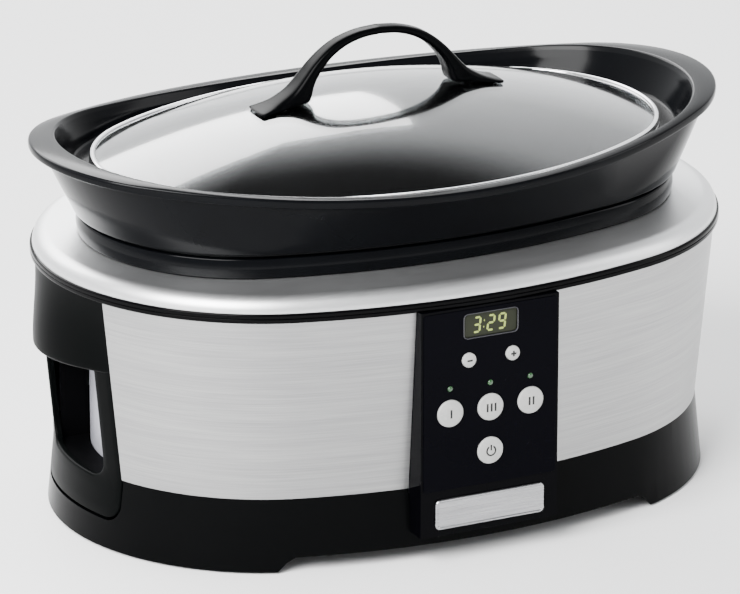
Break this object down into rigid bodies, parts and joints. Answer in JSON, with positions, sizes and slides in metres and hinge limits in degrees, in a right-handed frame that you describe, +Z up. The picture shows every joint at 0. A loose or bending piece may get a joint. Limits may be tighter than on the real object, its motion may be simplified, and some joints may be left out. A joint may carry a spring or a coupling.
{
  "type": "slow cooker",
  "caption": "Oval countertop slow cooker with a steel-wrapped heating base, push-button panel, lift-out black pot and domed glass lid with an arch handle.",
  "frame": {"origin": "centre of the footprint on the surface that the feet stand on", "axes": "+X along the length, -Y towards the front with the control panel, +Z up"},
  "size_m": [0.428, 0.2986, 0.2772],
  "materials": {
    "pot_coating": "gloss black non-stick coat on cast aluminium",
    "clear_glass": "clear, smooth",
    "polished_steel": "polished",
    "black_handle": "satin black phenolic",
    "zinc_steel": "zinc plated",
    "black_rubber": "matte silicone",
    "satin_steel": "satin, pressed sheet",
    "gloss_black": "gloss black",
    "brushed_wrap": "fine horizontal grain",
    "satin_black": "satin black",
    "black_liner": "matte black",
    "base_black": "semi-gloss black",
    "liner_metal": "bare pressed sheet",
    "mica_band": "mica and resistance wire",
    "glass_fibre": "glass fibre mat",
    "shield_metal": "satin sheet",
    "sensor_black": "potted sensor",
    "window_tint": "smoked clear plastic",
    "display_body": "dark display glass",
    "pearl_button": "pearl grey",
    "switch_grey": "moulded",
    "light_pipe": "clear green plastic",
    "led_white": "moulded",
    "board_green": "solder mask",
    "relay_blue": "moulded",
    "coil_yellow": "taped winding",
    "can_blue": "sleeved can",
    "fuse_glass": "glass tube",
    "block_white": "moulded",
    "cable_grey": "flat cable",
    "lead_white": "silicone sleeved",
    "lead_brown": "insulated wire"
  },
  "bodies": {
    "base": {"top_deck": "satin_steel", "deck_studs": "zinc_steel", "trim_ring": "gloss_black", "wrap_front_left": "brushed_wrap", "wrap_front_right": "brushed_wrap", "wrap_back": "brushed_wrap", "left_handle": "satin_black", "right_handle": "satin_black", "left_recess_liner": "black_liner", "right_recess_liner": "black_liner", "base_tray": "base_black", "rubber_feet": "black_rubber", "tie_rods": "zinc_steel", "heating_well": "liner_metal", "heating_band": "mica_band", "insulation": "glass_fibre", "heat_shield": "shield_metal", "thermistor": "sensor_black", "thermal_fuse": "zinc_steel", "panel_bezel": "gloss_black", "panel_overlay": "gloss_black", "display_window": "window_tint", "display_module": "display_body", "badge_plate": "polished_steel", "tact_switches": "switch_grey", "light_pipes": "light_pipe", "indicator_leds": "led_white", "control_board": "board_green", "board_screws": "zinc_steel", "power_board": "board_green", "relay": "relay_blue", "transformer": "coil_yellow", "capacitor": "can_blue", "fuse": "fuse_glass", "terminal_block": "block_white", "ribbon_cable": "cable_grey", "element_leads": "lead_white", "mains_leads": "lead_brown", "cord_inlet_housing": "base_black", "cord_gland": "black_rubber"},
    "pot": {"pot": "pot_coating"},
    "lid": {"lid_glass": "clear_glass", "lid_ring": "polished_steel", "lid_handle": "black_handle", "lid_handle_screws": "zinc_steel", "lid_handle_washers": "black_rubber"},
    "minus_button": {"minus_button": "pearl_button"},
    "plus_button": {"plus_button": "pearl_button"},
    "low_button": {"low_button": "pearl_button"},
    "high_button": {"high_button": "pearl_button"},
    "warm_button": {"warm_button": "pearl_button"},
    "power_button": {"power_button": "pearl_button"}
  },
  "joints": [
    {"name": "pot_lift", "type": "slide", "parent": "base", "child": "pot", "axis": [0, 0, 1], "range_m": [0, 0.16]},
    {"name": "lid_lift", "type": "slide", "parent": "pot", "child": "lid", "axis": [0, 0, 1], "range_m": [0, 0.08]},
    {"name": "minus_press", "type": "slide", "parent": "base", "child": "minus_button", "axis": [0, 1, 0], "range_m": [0, 0.0008], "stiffness_N_per_m": 900, "springref_m": -0.0006},
    {"name": "plus_press", "type": "slide", "parent": "base", "child": "plus_button", "axis": [0, 1, 0], "range_m": [0, 0.0008], "stiffness_N_per_m": 900, "springref_m": -0.0006},
    {"name": "low_press", "type": "slide", "parent": "base", "child": "low_button", "axis": [0, 1, 0], "range_m": [0, 0.0008], "stiffness_N_per_m": 900, "springref_m": -0.0006},
    {"name": "high_press", "type": "slide", "parent": "base", "child": "high_button", "axis": [0, 1, 0], "range_m": [0, 0.0008], "stiffness_N_per_m": 900, "springref_m": -0.0006},
    {"name": "warm_press", "type": "slide", "parent": "base", "child": "warm_button", "axis": [0, 1, 0], "range_m": [0, 0.0008], "stiffness_N_per_m": 900, "springref_m": -0.0006},
    {"name": "power_press", "type": "slide", "parent": "base", "child": "power_button", "axis": [0, 1, 0], "range_m": [0, 0.0008], "stiffness_N_per_m": 900, "springref_m": -0.0006}
  ]
}
